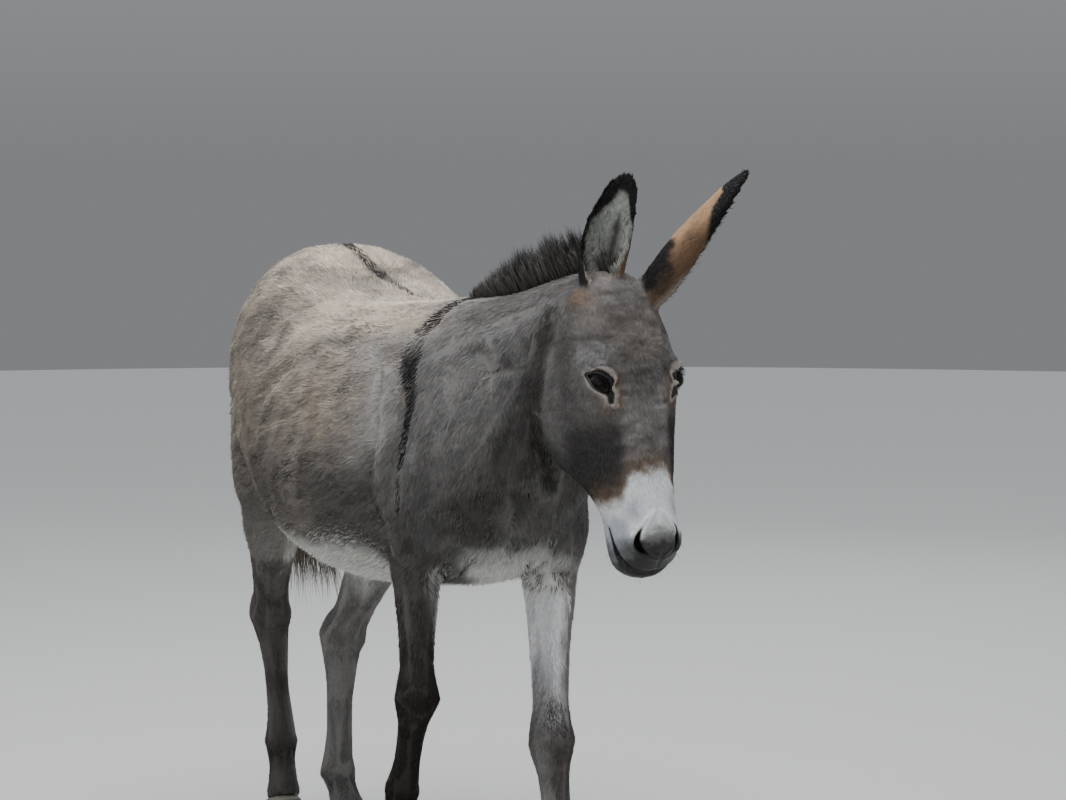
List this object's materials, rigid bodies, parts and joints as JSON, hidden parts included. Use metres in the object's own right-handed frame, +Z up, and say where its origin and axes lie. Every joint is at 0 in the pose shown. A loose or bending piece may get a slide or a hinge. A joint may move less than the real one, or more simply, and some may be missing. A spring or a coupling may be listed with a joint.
{
  "type": "donkey figure",
  "caption": "Life-size donkey standing in mid-stride, a foreleg lifted, head lowered and turned, with grey coat, dark back stripe and shoulder cross, upright mane and pale muzzle.",
  "frame": {"origin": "on the ground, at the middle of the box round the whole animal", "axes": "+X the way the trunk faces, +Y the donkey's left, +Z up"},
  "size_m": [1.5596, 0.624, 1.3747],
  "materials": {
    "body_coat": "short soft hair, matte",
    "leg_coat": "short dark hair, matte",
    "ear_coat": "short hair, pale inside, black rim",
    "muzzle_coat": "velvety short hair",
    "mane_hair": "coarse stiff hair, low sheen",
    "hoof": "dry ringed horn",
    "eye": "wet, glossy"
  },
  "bodies": {
    "root": {"trunk": "body_coat", "neck": "body_coat", "head": "body_coat", "chin": "muzzle_coat", "eye_left": "eye", "eye_right": "eye", "ear_left": "ear_coat", "ear_right": "ear_coat", "mane": "mane_hair", "tail_dock": "body_coat", "tail_switch": "mane_hair", "foreleg_left_upper": "body_coat", "foreleg_left_lower": "leg_coat", "foreleg_left_hoof": "hoof", "foreleg_right_upper": "body_coat", "foreleg_right_lower": "leg_coat", "foreleg_right_hoof": "hoof", "hindleg_left_upper": "body_coat", "hindleg_left_lower": "leg_coat", "hindleg_left_hoof": "hoof", "hindleg_right_upper": "body_coat", "hindleg_right_lower": "leg_coat", "hindleg_right_hoof": "hoof"}
  },
  "joints": []
}
